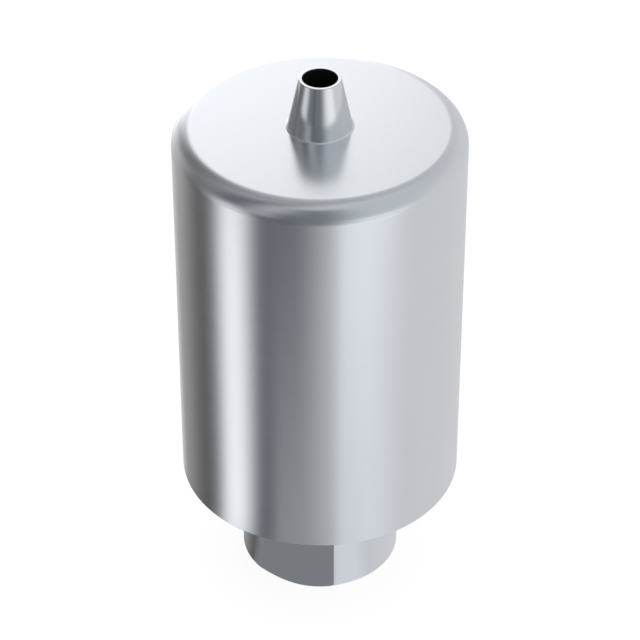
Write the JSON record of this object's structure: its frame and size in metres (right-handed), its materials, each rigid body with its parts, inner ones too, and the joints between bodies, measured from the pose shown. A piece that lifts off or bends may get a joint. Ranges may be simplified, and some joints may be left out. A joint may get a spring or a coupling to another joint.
{
  "type": "dental abutment blank",
  "caption": "Pre-milled titanium abutment blank: a rounded cylinder of stock with a hollow implant cone on top and a flatted holding shank below.",
  "frame": {"origin": "centre of the shank's end face, on the turning axis, which is the plane the blank stands on", "axes": "+Z along the turning axis from the shank towards the implant cone; -Y out of the shank's index flat"},
  "size_m": [0.014, 0.014, 0.0286],
  "materials": {
    "titanium": "fine-turned and polished titanium, satin grey, uncoated"
  },
  "bodies": {
    "root": {"abutment_blank": "titanium"}
  },
  "joints": []
}
